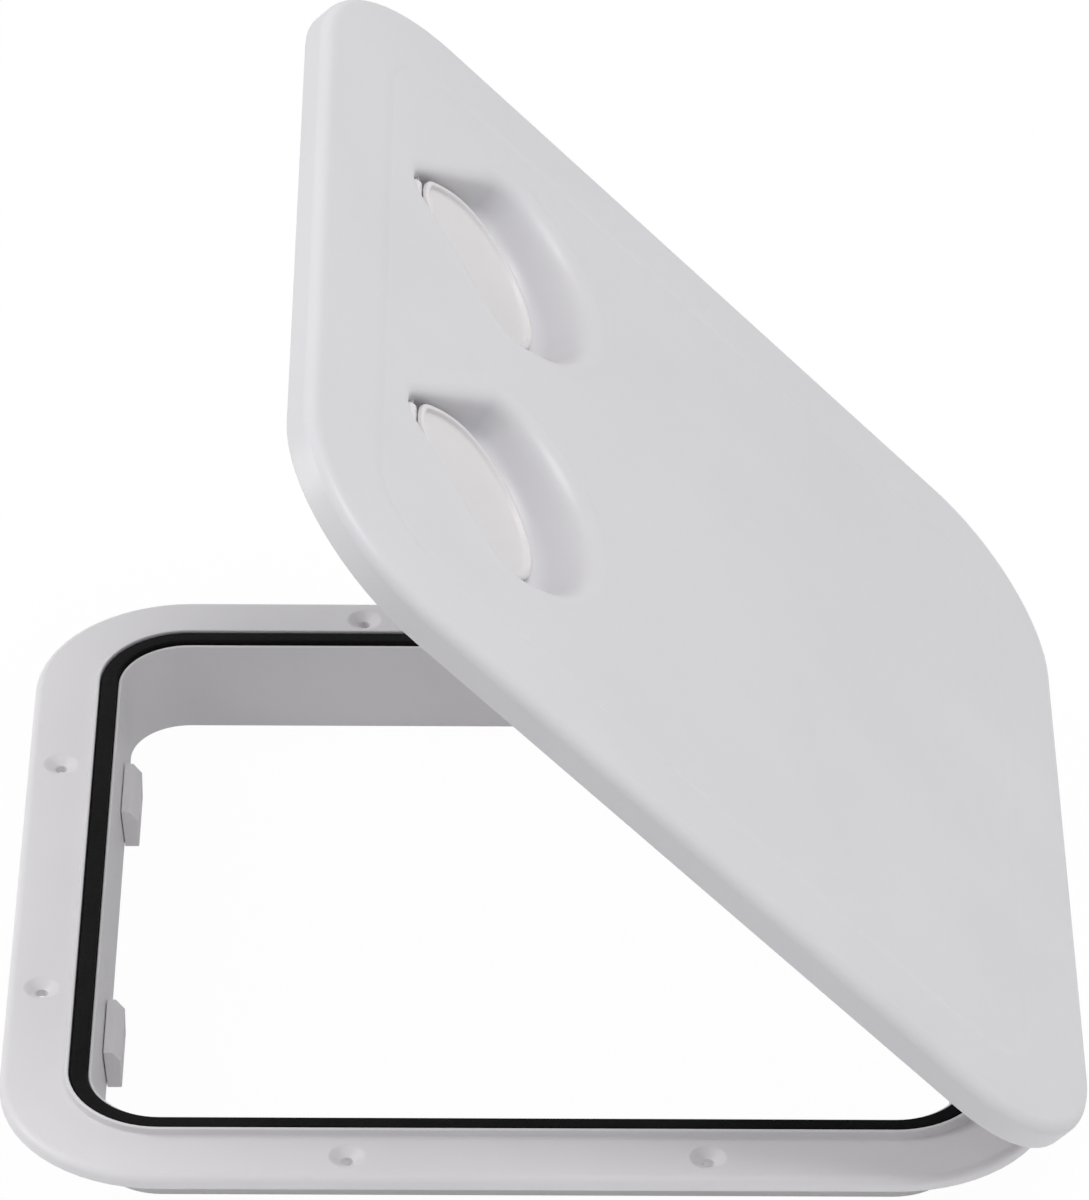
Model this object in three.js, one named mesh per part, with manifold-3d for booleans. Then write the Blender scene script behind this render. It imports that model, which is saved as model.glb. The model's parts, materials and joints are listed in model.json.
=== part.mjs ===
// Deck hatch: a moulded frame that drops into a cut-out in a boat's deck, and a lid that closes over it.
// The lid swings on two hinge pins and is held shut by two sprung slam latches, whose handles lie in
// finger bowls in the lid. Millimetres, +Z up. X runs from the latch side (-) to the hinge side (+).
// Every piece is drawn as it lies with the lid closed, in a frame whose origin is the middle of the
// opening on the flange's upper face. The lid's group is then turned open about the hinge pins.
import * as THREE from 'three';
import { mergeVertices } from 'three/addons/utils/BufferGeometryUtils.js';
import Module from 'manifold-3d';

const wasm = await Module();
wasm.setup();

// ---- Driving dimensions ----
const FIT = 0.3; // gap between two pieces that touch
const CORNER_STEPS = 5; // half the straight facets in a quarter of a round corner
const ROUND_STEPS = 16; // facets around a screw, pin or bore

const FRAME_LENGTH = 356; // along X
const FRAME_WIDTH = 338.4; // along Y
const FRAME_CORNER = 55;
const FLANGE_THICKNESS = 5.2;
const FLANGE_ROUND = 3; // round on the flange's upper outer edge
const NECK_DEPTH = 32.4; // below the flange's upper face
const NECK_WALL = 2.5;
const NECK_DRAFT = 2.7; // how far the neck's inner wall leans in, top to bottom
const LIP_HEIGHT = 3; // above the flange's upper face
const OUTER_LIP = 1.3;
const INNER_LIP = 1;
const INNER_LIP_HEIGHT = 1; // the inner lip stands lower, behind the gasket

const GASKET_INSET = 23.3; // flange edge to gasket
const GASKET_WIDTH = 6.7;
const GASKET_TOP = 2.5;
const CHANNEL_FLOOR = -2;
const GASKET_ROUND = 1.1;

const DECK_SCREW_INSET = 11.7; // flange edge to screw centre
const DECK_SCREW_SPREAD_X = 60; // half the spacing along the long sides
const DECK_SCREW_SPREAD_Y = 65.8;
const DECK_SCREW_HOLE = 2.1; // radius
const DECK_SCREW_HEAD = 6.1; // radius of the countersink
const DECK_SCREW_SINK = 2.2; // depth of the countersink

const LID_OVERHANG = 9.5; // lid edge beyond the flange edge
const LID_CORNER = 60;
const LID_TOP = 9.8;
const LID_THICKNESS = 11.5;
const LID_SKIN = 2.5;
const LID_ROUND = 4.5;
const HINGE_SKIRT_BOTTOM = 2.2; // the skirt is shallower along the hinge, to swing past the flange
const HINGE_SKIRT_HALF = 140;
const PANEL_INSET = 28.5;
const PANEL_RECESS = 0.5;
const RIB = 2.2;
const RIB_DEPTH = 4.2;
const SEAL_RIB = 3.6;

const HINGE_X = 180;
const HINGE_Z = 3.2;
const HINGE_Y = 92; // middle of each hinge
const HINGE_PIN = 2; // radius
const HINGE_BARREL = 3.8; // radius
const LUG_LENGTH = 30;
const KNUCKLE_LENGTH = 7.7;
const OPEN_ANGLE = 46.24; // degrees, as the lid rests

const LATCH_SPREAD = 70; // half the distance between the latches
const LATCH_OFFSET = 5.5; // both latches stand off the middle by this
const KEEPER_LENGTH = 30;
const KEEPER_HEIGHT = 11.2;
const KEEPER_REACH = 5.3;
const KEEPER_RAMP_X = 3;
const KEEPER_RAMP_Z = 4;
const SMALL_SCREW = 1.6; // radius of the shank
const SMALL_HEAD = 3.2;
const SMALL_HEAD_DEPTH = 1.8;

const BOWL_APEX = 42.6; // lid's free edge to the bowl's pointed end
const BOWL_TIP = 8; // radius of the pointed end
const BOWL_CENTRE = 83; // lid's free edge to the middle of the round end
const BOWL_RADIUS = 52;
const BOWL_SHOULDER = 18;
const BOWL_LIP = 3; // width of the eased edge round the bowl
const BOWL_WALL = 2.5;
const BOWL_DEPTH = 24;
const BOWL_START_DEPTH = 10.1; // depth of the floor under the handle's root

const HANDLE_ROOT = 3.2; // radius round the pivot pin
const HANDLE_LENGTH = 75;
const HANDLE_WIDTH = 57;
const HANDLE_THICKNESS = 3;
const HANDLE_SLOPE = 12.1; // degrees
const HANDLE_DISH = 1.6;
const HANDLE_GAP = 1.5; // handle to the bowl's wall
const PIVOT_INSET = 7.1; // bowl's pointed end to the pivot pin
const PIVOT_Z = 3.4;
const PIVOT_PIN = 1.5; // radius
const SHANK_THICKNESS = 4;
const SHANK_WIDTH = 9;
const SHANK_BOTTOM = -24;
const CLAW_THICKNESS = 3;
const CLAW_WIDTH = 16;
const CLAW_TOP = -13;
const CLAW_NOSE = 4.2;
const CLAW_BITE = 5; // how far the nose reaches under the keeper
const CLAW_SCREW_Z = -18.5;

const EAR_Y = 13.5; // inner face of the housing's ears
const EAR_THICKNESS = 3;
const EAR_HALF = 3.6;
const SEAT_X = 27.8; // pivot pin to the spring's seat
const SEAT_THICKNESS = 3;
const HOUSING_BOTTOM = -24.5;
const BOSS_Y = 24;
const BOSS_RADIUS = 4;
const BOSS_BOTTOM = 2.7;
const TAB_THICKNESS = 2.7;
const SPRING_RADIUS = 4.2;
const SPRING_WIRE = 0.6;
const SPRING_TURNS = 5;

// ---- Sizes that follow ----
const lidLength = FRAME_LENGTH + 2 * LID_OVERHANG;
const lidWidth = FRAME_WIDTH + 2 * LID_OVERHANG;
const lidBottom = LID_TOP - LID_THICKNESS;
const skinBottom = LID_TOP - LID_SKIN;
const freeEdge = -lidLength / 2;
const lipInset = GASKET_INSET - OUTER_LIP;
const innerLipInset = GASKET_INSET + GASKET_WIDTH;
const openingInset = innerLipInset + INNER_LIP;
const neckHeight = NECK_DEPTH + LIP_HEIGHT;
const bowlApex = freeEdge + BOWL_APEX;
const bowlCentre = freeEdge + BOWL_CENTRE;
const pivotX = bowlApex + PIVOT_INSET;
const floorTop = LID_TOP - BOWL_START_DEPTH;
const floorBottom = LID_TOP - BOWL_DEPTH;
const floorFlatX = bowlCentre + BOWL_RADIUS * 0.68;
const floorSlope = (floorTop - floorBottom) / (floorFlatX - pivotX);
const keeperFace = -(FRAME_LENGTH / 2 - openingInset - NECK_DRAFT) + KEEPER_REACH;
const shankFace = keeperFace + FIT;
const clawFace = shankFace + SHANK_THICKNESS + FIT;
const latchSides = { near: LATCH_OFFSET - LATCH_SPREAD, far: LATCH_OFFSET + LATCH_SPREAD };
const hingeSides = { near: -HINGE_Y, far: HINGE_Y };
const radians = THREE.MathUtils.degToRad;

// ---- Materials ----
const plastic = (name, color, roughness) =>
  new THREE.MeshStandardMaterial({ name, color, roughness, metalness: 0 });
const steel = new THREE.MeshStandardMaterial({
  name: 'stainless_steel',
  color: 0xb9bcc0,
  roughness: 0.3,
  metalness: 1,
});
const framePlastic = plastic('frame_plastic', 0xd7d4d2, 0.42);
const lidPlastic = plastic('lid_plastic', 0xd5d4d7, 0.4);
const handlePlastic = plastic('handle_plastic', 0xdfdad8, 0.35);
const darkPlastic = plastic('housing_plastic', 0x3a3b3d, 0.5);
const rubber = plastic('gasket_rubber', 0x151516, 0.7);

// ---- Solids ----
function solid(geometry) {
  const bare = geometry.clone();
  bare.deleteAttribute('normal');
  bare.deleteAttribute('uv');
  const merged = mergeVertices(bare, 1e-4);
  const vertProperties = Float32Array.from(merged.attributes.position.array);
  const triVerts = Uint32Array.from(merged.index.array);
  return new wasm.Manifold(new wasm.Mesh({ numProp: 3, vertProperties, triVerts }));
}

function piece(name, body, material) {
  const { vertProperties, triVerts } = body.getMesh();
  const geometry = new THREE.BufferGeometry();
  geometry.setAttribute('position', new THREE.BufferAttribute(vertProperties, 3));
  geometry.setIndex(new THREE.BufferAttribute(triVerts, 1));
  geometry.computeVertexNormals();
  const mesh = new THREE.Mesh(geometry, material);
  mesh.name = name;
  return mesh;
}

// A box between two corners.
function block([x0, y0, z0], [x1, y1, z1]) {
  const box = new THREE.BoxGeometry(x1 - x0, y1 - y0, z1 - z0);
  box.translate((x0 + x1) / 2, (y0 + y1) / 2, (z0 + z1) / 2);
  return solid(box);
}

// A round bar along one axis, centred on a point.
function bar(axis, radius, length, [x, y, z]) {
  const cylinder = new THREE.CylinderGeometry(radius, radius, length, ROUND_STEPS);
  if (axis === 'x') cylinder.rotateZ(Math.PI / 2);
  if (axis === 'z') cylinder.rotateX(Math.PI / 2);
  cylinder.translate(x, y, z);
  return solid(cylinder);
}

function roundedRect(length, width, corner) {
  const x = length / 2 - corner;
  const y = width / 2 - corner;
  const shape = new THREE.Shape();
  shape.absarc(x, y, corner, 0, Math.PI / 2);
  shape.absarc(-x, y, corner, Math.PI / 2, Math.PI);
  shape.absarc(-x, -y, corner, Math.PI, 1.5 * Math.PI);
  shape.absarc(x, -y, corner, 1.5 * Math.PI, 2 * Math.PI);
  return shape;
}

// The frame's outline, moved in from the flange's edge.
function frameOutline(inset) {
  return roundedRect(FRAME_LENGTH - 2 * inset, FRAME_WIDTH - 2 * inset, FRAME_CORNER - inset);
}

function lidOutline(inset) {
  return roundedRect(lidLength - 2 * inset, lidWidth - 2 * inset, LID_CORNER - inset);
}

function prism(shape, bottom, top) {
  const geometry = new THREE.ExtrudeGeometry(shape, {
    depth: top - bottom,
    bevelEnabled: false,
    curveSegments: CORNER_STEPS,
  });
  geometry.translate(0, 0, bottom);
  return solid(geometry);
}

// A prism whose upper edge is rounded.
function roundedPrism(shape, bottom, top, round, segments) {
  const geometry = new THREE.ExtrudeGeometry(shape, {
    depth: top - bottom,
    bevelThickness: round,
    bevelSize: round,
    bevelOffset: -round,
    bevelSegments: segments,
    curveSegments: CORNER_STEPS,
  });
  geometry.translate(0, 0, bottom - round);
  const reach = FRAME_LENGTH;
  return solid(geometry).intersect(block([-reach, -reach, bottom], [reach, reach, top + 1]));
}

// A shape in the XZ plane, drawn as [x, z] points, run along Y about a middle.
function profileBar(points, middle, length) {
  const shape = new THREE.Shape(points.map(([x, z]) => new THREE.Vector2(x, z)));
  const geometry = new THREE.ExtrudeGeometry(shape, { depth: length, bevelEnabled: false });
  geometry.rotateX(Math.PI / 2);
  geometry.translate(0, middle + length / 2, 0);
  return solid(geometry);
}

// The frame's outline drawn in by the neck's draft: full size at the lip, smaller at the neck's foot.
function draftedNeck(inset, extra) {
  const geometry = new THREE.ExtrudeGeometry(frameOutline(inset), {
    depth: neckHeight + 2 * extra,
    bevelEnabled: false,
    curveSegments: CORNER_STEPS,
  });
  geometry.translate(0, 0, -NECK_DEPTH - extra);
  const points = geometry.attributes.position;
  const lengthTop = FRAME_LENGTH / 2 - inset;
  const widthTop = FRAME_WIDTH / 2 - inset;
  for (let i = 0; i < points.count; i += 1) {
    const draft = (NECK_DRAFT * (LIP_HEIGHT - points.getZ(i))) / neckHeight;
    points.setX(i, points.getX(i) * (1 - draft / lengthTop));
    points.setY(i, points.getY(i) * (1 - draft / widthTop));
  }
  return solid(geometry);
}

// ---- Frame ----
function countersunkHole(x, y) {
  const profile = [
    [0, -FLANGE_THICKNESS - 1],
    [DECK_SCREW_HOLE, -FLANGE_THICKNESS - 1],
    [DECK_SCREW_HOLE, -DECK_SCREW_SINK],
    [DECK_SCREW_HEAD, 0],
    [DECK_SCREW_HEAD, 1],
    [0, 1],
  ];
  const points = profile.map(([r, z]) => new THREE.Vector2(r, z));
  const geometry = new THREE.LatheGeometry(points, ROUND_STEPS);
  geometry.rotateX(Math.PI / 2);
  geometry.translate(x, y, 0);
  return solid(geometry);
}

function deckScrewPlaces() {
  const sideX = FRAME_LENGTH / 2 - DECK_SCREW_INSET;
  const sideY = FRAME_WIDTH / 2 - DECK_SCREW_INSET;
  const places = [];
  for (const a of [-1, 1]) {
    for (const b of [-1, 1]) {
      places.push([a * sideX, b * DECK_SCREW_SPREAD_Y]);
      places.push([a * DECK_SCREW_SPREAD_X, b * sideY]);
    }
  }
  return places;
}

// A lug that reaches out from the flange to hold the pin just beyond the flange's edge. It stays above
// the flange, so that the lid's skirt can swing under the pin.
function hingeLug(y) {
  const edge = FRAME_LENGTH / 2;
  const foot = -FLANGE_ROUND / 2;
  const outline = [
    [edge - 3 * HINGE_BARREL, foot],
    [edge - FLANGE_ROUND / 4, foot],
    [edge + FLANGE_ROUND / 5, HINGE_Z - HINGE_BARREL * 0.9],
    [HINGE_X, HINGE_Z],
    [HINGE_X, HINGE_Z + HINGE_BARREL * 0.98],
    [HINGE_X - HINGE_BARREL, HINGE_Z + HINGE_BARREL * 0.85],
    [edge - 2.4 * HINGE_BARREL, 0.5],
  ];
  const lug = profileBar(outline, y, LUG_LENGTH);
  const barrel = bar('y', HINGE_BARREL, LUG_LENGTH, [HINGE_X, y, HINGE_Z]);
  return lug.add(barrel);
}

function frameBody() {
  let body = roundedPrism(frameOutline(0), -FLANGE_THICKNESS, 0, FLANGE_ROUND, 3);
  body = body.add(prism(frameOutline(lipInset), -FLANGE_THICKNESS / 2, LIP_HEIGHT));
  const neckShell = draftedNeck(openingInset - NECK_WALL, 0);
  body = body.add(neckShell.intersect(block([-400, -400, -NECK_DEPTH], [400, 400, -1])));
  for (const y of Object.values(hingeSides)) body = body.add(hingeLug(y));
  body = body.subtract(draftedNeck(openingInset, 1));
  const channel = prism(frameOutline(GASKET_INSET), CHANNEL_FLOOR, LIP_HEIGHT + 1);
  const core = prism(frameOutline(innerLipInset), CHANNEL_FLOOR - 1, INNER_LIP_HEIGHT);
  body = body.subtract(channel.subtract(core));
  for (const [x, y] of deckScrewPlaces()) body = body.subtract(countersunkHole(x, y));
  const pinHole = HINGE_PIN + FIT;
  for (const y of Object.values(hingeSides)) {
    body = body.subtract(bar('y', pinHole, LUG_LENGTH + 2, [HINGE_X, y, HINGE_Z]));
  }
  for (const [x, y, z] of keeperScrewPlaces()) {
    body = body.subtract(bar('x', SMALL_SCREW + FIT, 4 * NECK_WALL, [x - KEEPER_REACH, y, z]));
  }
  return body;
}

function gasketRing() {
  const ring = frameOutline(GASKET_INSET + FIT);
  ring.holes.push(frameOutline(innerLipInset - FIT));
  const bottom = CHANNEL_FLOOR + FIT;
  const geometry = new THREE.ExtrudeGeometry(ring, {
    depth: GASKET_TOP - bottom - 2 * GASKET_ROUND,
    bevelThickness: GASKET_ROUND,
    bevelSize: GASKET_ROUND,
    bevelOffset: -GASKET_ROUND,
    bevelSegments: 2,
    curveSegments: CORNER_STEPS,
  });
  geometry.translate(0, 0, bottom + GASKET_ROUND);
  return solid(geometry);
}

// ---- Keepers, on the neck's inner wall ----
function keeperScrewPlaces() {
  const places = [];
  for (const y of Object.values(latchSides)) {
    for (const side of [-1, 1]) {
      places.push([keeperFace, y + (side * KEEPER_LENGTH) / 3.6, -NECK_DEPTH + KEEPER_HEIGHT / 2]);
    }
  }
  return places;
}

// The neck's inner wall at a height, on the latch side.
function wallX(z) {
  const draft = (NECK_DRAFT * (LIP_HEIGHT - z)) / neckHeight;
  return -(FRAME_LENGTH / 2 - openingInset - draft);
}

function countersunkScrew(length) {
  const profile = [
    [0, 0],
    [SMALL_HEAD, 0],
    [SMALL_SCREW, -SMALL_HEAD_DEPTH],
    [SMALL_SCREW, -length],
    [0, -length],
  ];
  const points = profile.map(([r, z]) => new THREE.Vector2(r, z)).reverse();
  const geometry = new THREE.LatheGeometry(points, ROUND_STEPS);
  geometry.rotateX(Math.PI / 2);
  const cross = block([-0.4, -1.9, -1], [0.4, 1.9, 1]).add(block([-1.9, -0.4, -1], [1.9, 0.4, 1]));
  return solid(geometry).subtract(cross);
}

function keeper(y) {
  const top = -NECK_DEPTH + KEEPER_HEIGHT;
  const rampTop = top + KEEPER_RAMP_Z;
  const outline = [
    [wallX(-NECK_DEPTH) + FIT, -NECK_DEPTH],
    [keeperFace, -NECK_DEPTH],
    [keeperFace, top],
    [keeperFace - KEEPER_RAMP_X, rampTop],
    [wallX(rampTop) + FIT, rampTop],
  ];
  let body = profileBar(outline, y, KEEPER_LENGTH);
  for (const [x, screwY, z] of keeperScrewPlaces()) {
    const bore = bar('x', SMALL_SCREW + FIT, 40, [x, screwY, z]);
    const head = bar('x', SMALL_HEAD + FIT, 2 * (SMALL_HEAD_DEPTH + FIT), [x, screwY, z]);
    body = body.subtract(bore).subtract(head);
  }
  return body;
}

// ---- Lid ----
// The finger bowl seen from above: a pointed end with straight sides at 45 degrees, and a round end.
function bowlOutline(grow) {
  const tip = BOWL_TIP + grow;
  const tipX = bowlApex + BOWL_TIP;
  const shoulder = BOWL_SHOULDER + grow;
  const sideX = tipX - BOWL_TIP * Math.SQRT2 + BOWL_SHOULDER * Math.SQRT2 - bowlCentre;
  const reach = BOWL_RADIUS - BOWL_SHOULDER;
  const along = (sideX + Math.sqrt(2 * reach * reach - sideX * sideX)) / 2;
  const across = along - sideX;
  const turn = Math.atan2(across, along);
  const shape = new THREE.Shape();
  shape.absarc(tipX, 0, tip, radians(135), radians(225));
  shape.absarc(bowlCentre + along, -across, shoulder, radians(225), 2 * Math.PI - turn);
  shape.absarc(bowlCentre, 0, BOWL_RADIUS + grow, -turn, turn);
  shape.absarc(bowlCentre + along, across, shoulder, turn, radians(135));
  return shape;
}

// Everything above the bowl's sloping floor, or above its underside when lowered.
function aboveFloor(lower) {
  const z = (x) => floorTop - floorSlope * (x - pivotX) - lower;
  const start = bowlApex - 20;
  const end = bowlCentre + BOWL_RADIUS + 20;
  const outline = [
    [start, z(pivotX)],
    [pivotX, z(pivotX)],
    [floorFlatX, floorBottom - lower],
    [end, floorBottom - lower],
    [end, LID_TOP + 5],
    [start, LID_TOP + 5],
  ];
  return profileBar(outline, 0, 4 * BOWL_RADIUS);
}

function bowlCavity() {
  const hollow = prism(bowlOutline(-BOWL_LIP), floorBottom - 1, LID_TOP + 1);
  const ease = new THREE.ExtrudeGeometry(bowlOutline(-BOWL_LIP), {
    depth: 2,
    bevelThickness: BOWL_LIP,
    bevelSize: BOWL_LIP,
    bevelSegments: 1,
    curveSegments: CORNER_STEPS,
  });
  ease.translate(0, 0, LID_TOP);
  const slot = block(
    [shankFace - 1, -SHANK_WIDTH / 2 - 1, floorTop - 15],
    [shankFace + SHANK_THICKNESS + 8.5, SHANK_WIDTH / 2 + 1, floorTop + 1],
  );
  const pinHole = bar('y', PIVOT_PIN + FIT, 2 * (EAR_Y + EAR_THICKNESS), [pivotX, 0, PIVOT_Z]);
  return hollow.intersect(aboveFloor(0)).add(solid(ease)).add(slot).add(pinHole);
}

function bowlShell() {
  return prism(bowlOutline(BOWL_WALL - BOWL_LIP), floorBottom - BOWL_WALL, skinBottom + 1).intersect(
    aboveFloor(BOWL_WALL),
  );
}

function lidRibs() {
  const reach = FRAME_LENGTH / 2 - GASKET_INSET - GASKET_WIDTH / 2;
  const reachY = FRAME_WIDTH / 2 - GASKET_INSET - GASKET_WIDTH / 2;
  const bottom = skinBottom - RIB_DEPTH;
  let ribs = null;
  const rib = (low, high) => {
    const next = block([...low, bottom], [...high, skinBottom + 1]);
    ribs = ribs ? ribs.add(next) : next;
  };
  for (const x of [-20, 50, 115]) rib([x - RIB / 2, -reachY], [x + RIB / 2, reachY]);
  for (const y of [-120, LATCH_OFFSET, 125]) rib([-reach, y - RIB / 2], [reach, y + RIB / 2]);
  return ribs;
}

function sealRib() {
  const middle = GASKET_INSET + GASKET_WIDTH / 2;
  const outer = prism(frameOutline(middle - SEAL_RIB / 2), GASKET_TOP + FIT, skinBottom + 1);
  const inner = prism(frameOutline(middle + SEAL_RIB / 2), GASKET_TOP, skinBottom + 2);
  return outer.subtract(inner);
}

function hingeKnuckles(y) {
  let knuckles = null;
  for (const side of [-1, 1]) {
    const middle = y + side * (LUG_LENGTH / 2 + FIT + KNUCKLE_LENGTH / 2);
    const from = middle - KNUCKLE_LENGTH / 2;
    const barrel = bar('y', HINGE_BARREL, KNUCKLE_LENGTH, [HINGE_X, middle, HINGE_Z]);
    const web = block(
      [HINGE_X - HINGE_BARREL, from, HINGE_Z],
      [lidLength / 2 - LID_SKIN / 2, from + KNUCKLE_LENGTH, skinBottom + 1],
    );
    const knuckle = barrel.add(web);
    knuckles = knuckles ? knuckles.add(knuckle) : knuckle;
  }
  return knuckles;
}

function screwBosses() {
  let bosses = null;
  for (const side of [-1, 1]) {
    const length = skinBottom + 1 - BOSS_BOTTOM;
    const middle = BOSS_BOTTOM + length / 2;
    const boss = bar('z', BOSS_RADIUS, length, [pivotX, side * BOSS_Y, middle]);
    bosses = bosses ? bosses.add(boss) : boss;
  }
  return bosses;
}

function lidShell() {
  let body = roundedPrism(lidOutline(0), lidBottom, LID_TOP, LID_ROUND, 4);
  const inside = prism(lidOutline(LID_SKIN), lidBottom - 1, skinBottom);
  body = body.subtract(inside);
  const skirtCut = block(
    [lidLength / 2 - LID_CORNER / 2, -HINGE_SKIRT_HALF, lidBottom - 1],
    [lidLength / 2 + 1, HINGE_SKIRT_HALF, HINGE_SKIRT_BOTTOM],
  );
  body = body.subtract(skirtCut).add(sealRib()).add(lidRibs());
  for (const y of Object.values(hingeSides)) body = body.add(hingeKnuckles(y));
  for (const y of Object.values(latchSides)) {
    body = body.add(bowlShell().translate([0, y, 0])).add(screwBosses().translate([0, y, 0]));
  }
  const panel = prism(lidOutline(PANEL_INSET), LID_TOP - PANEL_RECESS, LID_TOP + 1);
  body = body.subtract(panel);
  for (const y of Object.values(latchSides)) body = body.subtract(bowlCavity().translate([0, y, 0]));
  for (const y of Object.values(hingeSides)) {
    const length = LUG_LENGTH + 2 * (KNUCKLE_LENGTH + FIT) + 2;
    body = body.subtract(bar('y', HINGE_PIN + FIT, length, [HINGE_X, y, HINGE_Z]));
  }
  for (const y of Object.values(latchSides)) {
    for (const side of [-1, 1]) {
      const depth = skinBottom + 1 - BOSS_BOTTOM;
      body = body.subtract(bar('z', SMALL_SCREW, 2 * depth, [pivotX, y + side * BOSS_Y, BOSS_BOTTOM]));
    }
  }
  return body;
}

function hingePin(y) {
  return bar('y', HINGE_PIN, LUG_LENGTH + 2 * (KNUCKLE_LENGTH + FIT), [HINGE_X, y, HINGE_Z]);
}

// ---- Latches ----
function housing() {
  const underside = (x) => floorTop - floorSlope * (x - pivotX) - BOWL_WALL - FIT;
  const seatEnd = pivotX + SEAT_X + SEAT_THICKNESS;
  const earBack = pivotX - EAR_HALF;
  const earFront = pivotX + EAR_HALF;
  const cheek = [
    [earBack, HOUSING_BOTTOM + 12],
    [pivotX + SEAT_X / 2, HOUSING_BOTTOM],
    [seatEnd, HOUSING_BOTTOM],
    [seatEnd, underside(seatEnd)],
    [earFront, underside(earFront)],
    [earFront, BOSS_BOTTOM - FIT],
    [earFront - 1, PIVOT_Z + EAR_HALF],
    [earBack + 1, PIVOT_Z + EAR_HALF],
    [earBack, BOSS_BOTTOM - FIT],
  ];
  const tabTop = BOSS_BOTTOM - FIT;
  let body = block(
    [pivotX + SEAT_X, -EAR_Y - 1, HOUSING_BOTTOM],
    [seatEnd, EAR_Y + 1, underside(seatEnd) - 1],
  );
  for (const side of [-1, 1]) {
    body = body.add(profileBar(cheek, side * (EAR_Y + EAR_THICKNESS / 2), EAR_THICKNESS));
    const inner = side * (EAR_Y + EAR_THICKNESS / 2);
    const outer = side * (BOSS_Y + BOSS_RADIUS);
    const tab = block(
      [earBack, Math.min(inner, outer), tabTop - TAB_THICKNESS],
      [earFront, Math.max(inner, outer), tabTop],
    );
    body = body.add(tab);
    body = body.subtract(bar('z', SMALL_SCREW + FIT, 20, [pivotX, side * BOSS_Y, tabTop]));
  }
  const pinHole = bar('y', PIVOT_PIN + FIT, 4 * EAR_Y, [pivotX, 0, PIVOT_Z]);
  return body.subtract(pinHole);
}

function housingScrew() {
  const tabBottom = BOSS_BOTTOM - FIT - TAB_THICKNESS;
  const headHeight = 2.2;
  const top = skinBottom + 0.4;
  const head = bar('z', SMALL_HEAD, headHeight, [0, 0, tabBottom - FIT - headHeight / 2]);
  const shank = bar('z', SMALL_SCREW - FIT, top - tabBottom + 1, [0, 0, (top + tabBottom - 1) / 2]);
  const bottom = tabBottom - FIT - headHeight;
  const cross = block([-0.4, -1.8, bottom - 1], [0.4, 1.8, bottom + 1]);
  const crossTurned = block([-1.8, -0.4, bottom - 1], [1.8, 0.4, bottom + 1]);
  return head.add(shank).subtract(cross).subtract(crossTurned);
}

function pivotPin() {
  return bar('y', PIVOT_PIN, 2 * (EAR_Y + EAR_THICKNESS), [pivotX, 0, PIVOT_Z]);
}

// The dished oval that a finger lifts, lying on its slope.
function handlePaddle() {
  const oval = new THREE.Shape();
  oval.absellipse(0, 0, HANDLE_LENGTH / 2, HANDLE_WIDTH / 2, 0, 2 * Math.PI);
  const plate = new THREE.ExtrudeGeometry(oval, {
    depth: HANDLE_THICKNESS,
    bevelEnabled: false,
    curveSegments: 18,
  });
  plate.translate(0, 0, -HANDLE_THICKNESS);
  const dish = new THREE.SphereGeometry(1, 24, 10);
  dish.rotateX(Math.PI / 2);
  dish.scale(HANDLE_LENGTH / 2 - 2.4, HANDLE_WIDTH / 2 - 2.4, HANDLE_DISH);
  const body = solid(plate).subtract(solid(dish));
  const slope = radians(HANDLE_SLOPE);
  const half = HANDLE_LENGTH / 2;
  const tipX = pivotX - HANDLE_ROOT;
  const placed = body
    .rotate([0, HANDLE_SLOPE, 0])
    .translate([tipX + half * Math.cos(slope), 0, PIVOT_Z + HANDLE_ROOT - half * Math.sin(slope)]);
  const room = prism(bowlOutline(-BOWL_LIP - HANDLE_GAP), floorBottom, LID_TOP);
  return placed.intersect(room);
}

function handle() {
  const room = prism(bowlOutline(-BOWL_LIP - HANDLE_GAP), SHANK_BOTTOM, LID_TOP);
  const root = bar('y', HANDLE_ROOT, SHANK_WIDTH, [pivotX, 0, PIVOT_Z]).intersect(room);
  const shank = block(
    [shankFace, -SHANK_WIDTH / 2, SHANK_BOTTOM],
    [shankFace + SHANK_THICKNESS, SHANK_WIDTH / 2, PIVOT_Z],
  );
  const pinHole = bar('y', PIVOT_PIN + FIT, 2 * EAR_Y, [pivotX, 0, PIVOT_Z]);
  const screwHole = bar('x', SMALL_SCREW + FIT, 20, [shankFace, 0, CLAW_SCREW_Z]);
  return handlePaddle().add(root).add(shank).subtract(pinHole).subtract(screwHole);
}

function claw() {
  const noseTop = -NECK_DEPTH - FIT;
  const noseTip = keeperFace - CLAW_BITE;
  const outline = [
    [clawFace, CLAW_TOP],
    [clawFace, noseTop],
    [noseTip, noseTop],
    [noseTip, noseTop - 1.2],
    [clawFace, noseTop - CLAW_NOSE],
    [clawFace + CLAW_THICKNESS, noseTop - CLAW_NOSE],
    [clawFace + CLAW_THICKNESS, CLAW_TOP],
  ];
  const body = profileBar(outline, 0, CLAW_WIDTH);
  return body.subtract(bar('x', SMALL_SCREW + FIT, 20, [clawFace, 0, CLAW_SCREW_Z]));
}

function clawScrew() {
  const face = clawFace + CLAW_THICKNESS;
  const headHeight = 2;
  const head = bar('x', SMALL_HEAD, headHeight, [face + FIT + headHeight / 2, 0, CLAW_SCREW_Z]);
  const length = face + FIT + 1 - shankFace - 0.5;
  const shank = bar('x', SMALL_SCREW, length, [shankFace + 0.5 + length / 2, 0, CLAW_SCREW_Z]);
  return head.add(shank);
}

class Helix extends THREE.Curve {
  constructor(radius, length, turns) {
    super();
    this.radius = radius;
    this.length = length;
    this.turns = turns;
  }

  getPoint(t) {
    const angle = 2 * Math.PI * this.turns * t;
    const { radius, length } = this;
    return new THREE.Vector3(t * length, radius * Math.cos(angle), radius * Math.sin(angle));
  }
}

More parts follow.
